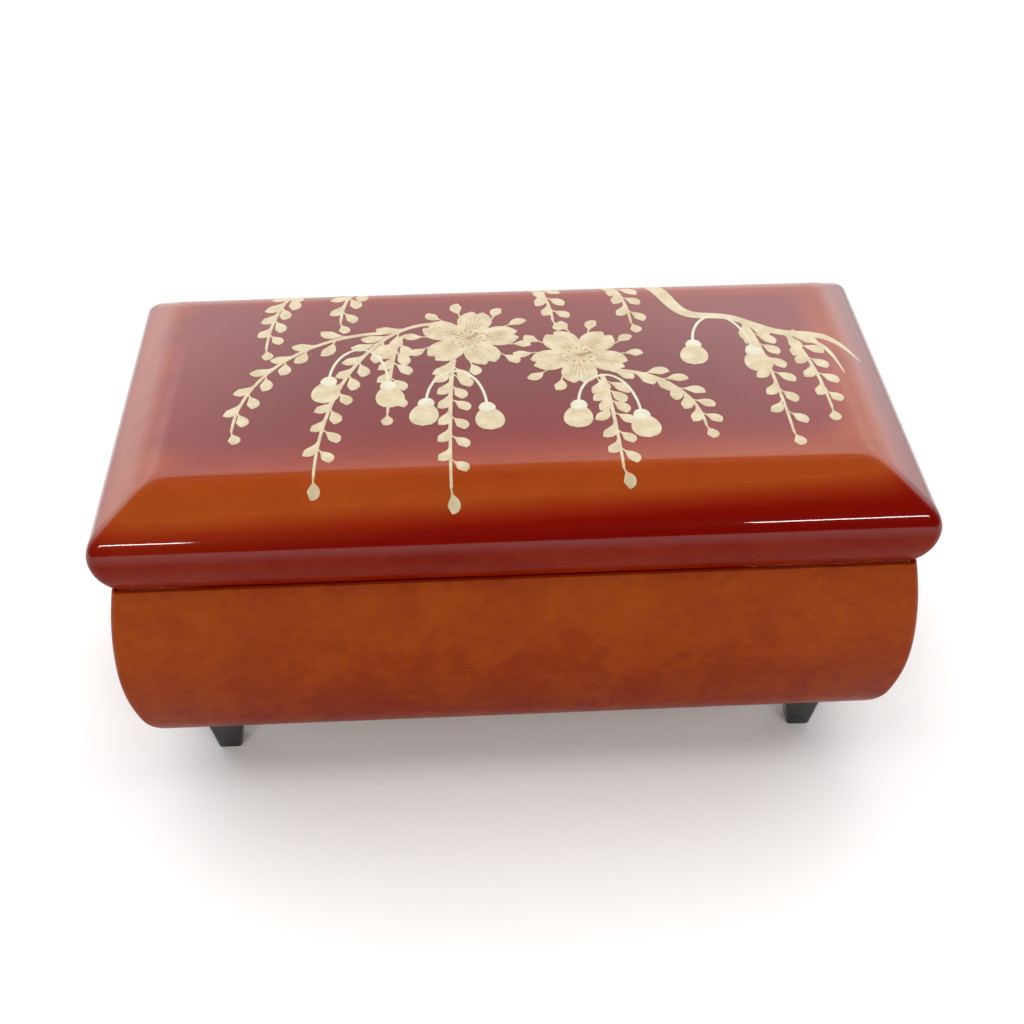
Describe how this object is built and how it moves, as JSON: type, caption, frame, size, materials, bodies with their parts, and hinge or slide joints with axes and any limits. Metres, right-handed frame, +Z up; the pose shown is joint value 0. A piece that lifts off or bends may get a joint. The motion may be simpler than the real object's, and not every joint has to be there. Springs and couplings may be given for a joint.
{
  "type": "wind-up music box",
  "caption": "Lacquered jewellery box with a hinged bevelled lid, a lined compartment, ring rolls and a key-wound comb-and-cylinder musical movement.",
  "frame": {"origin": "centre of the box's footprint, on the surface it stands on", "axes": "+X to the right along the long side, -Y towards the front, +Z up"},
  "size_m": [0.212, 0.114, 0.1035],
  "materials": {
    "lacquer": "deep gloss lacquer, amber clouding to crimson",
    "raw_wood": "plain planed",
    "foot_black": "satin black paint",
    "velvet": "short-pile velvet",
    "brass": "polished",
    "steel": "ground",
    "plated": "satin nickel plate",
    "clear": "clear acrylic",
    "mirror": "silvered",
    "black_plastic": "moulded"
  },
  "bodies": {
    "case": {"front_panel": "lacquer", "back_panel": "lacquer", "left_end": "lacquer", "right_end": "lacquer", "bottom_board": "raw_wood", "feet": "foot_black", "foot_screws": "steel", "hinge_case_leaves": "brass", "hinge_pins": "steel", "hinge_case_screws": "brass", "compartment_lining": "velvet", "compartment_divider": "velvet", "ring_rolls": "velvet", "partition": "raw_wood", "cover_ledges": "raw_wood", "clear_cover": "clear", "stop_guide": "brass", "stop_guide_screws": "brass", "bedplate": "plated", "movement_screws": "steel", "spring_housing": "plated", "housing_screws": "steel", "mainspring": "steel", "comb_base": "brass", "comb": "steel", "comb_screws": "steel", "cylinder_bearing": "plated", "governor_frame": "plated", "governor_bridge": "plated", "governor_screws": "steel"},
    "lid": {"lid_shell": "lacquer", "lid_lining": "velvet", "lid_mirror": "mirror", "mirror_frame": "brass", "hinge_lid_leaves": "brass", "hinge_lid_screws": "brass"},
    "winder": {"winding_arbor": "steel", "winding_key": "brass", "drive_wheel": "brass", "ratchet_wheel": "steel", "ratchet_pawl": "steel"},
    "cylinder": {"cylinder_drum": "brass", "cylinder_arbor": "steel", "cylinder_pinion": "brass", "cylinder_end_wheel": "brass"},
    "governor": {"governor_arbor": "steel", "governor_pinion": "steel", "worm_wheel": "brass"},
    "air_brake": {"worm": "steel", "fan": "black_plastic"},
    "stop": {"stop_rod": "steel", "stop_wire": "steel"}
  },
  "joints": [
    {"name": "lid_hinge", "type": "hinge", "parent": "case", "child": "lid", "pos_m": [0, 0.0546, 0.0784], "axis": [-1, 0, 0], "range_deg": [0, 100]},
    {"name": "cylinder_spin", "type": "hinge", "parent": "case", "child": "cylinder", "pos_m": [0.052, 0.004, 0.036], "axis": [1, 0, 0], "continuous": true},
    {"name": "key_turn", "type": "hinge", "parent": "case", "child": "winder", "pos_m": [0.039, 0.004, 0.02], "axis": [0, 0, 1], "continuous": true},
    {"name": "governor_spin", "type": "hinge", "parent": "case", "child": "governor", "pos_m": [0.077, 0.0112, 0.03949], "axis": [1, 0, 0], "continuous": true},
    {"name": "fan_spin", "type": "hinge", "parent": "case", "child": "air_brake", "pos_m": [0.0773, 0.0178, 0.04], "axis": [0, 0, 1], "continuous": true},
    {"name": "stop_slide", "type": "slide", "parent": "case", "child": "stop", "axis": [0, 0, 1], "range_m": [0, 0.003]}
  ],
  "couplings": [
    {"joint": "key_turn", "follows": "cylinder_spin", "ratio": 0.26667},
    {"joint": "governor_spin", "follows": "cylinder_spin", "ratio": -3},
    {"joint": "fan_spin", "follows": "cylinder_spin", "ratio": 60},
    {"joint": "stop_slide", "follows": "lid_hinge", "m_per_rad": 0.0017188}
  ]
}
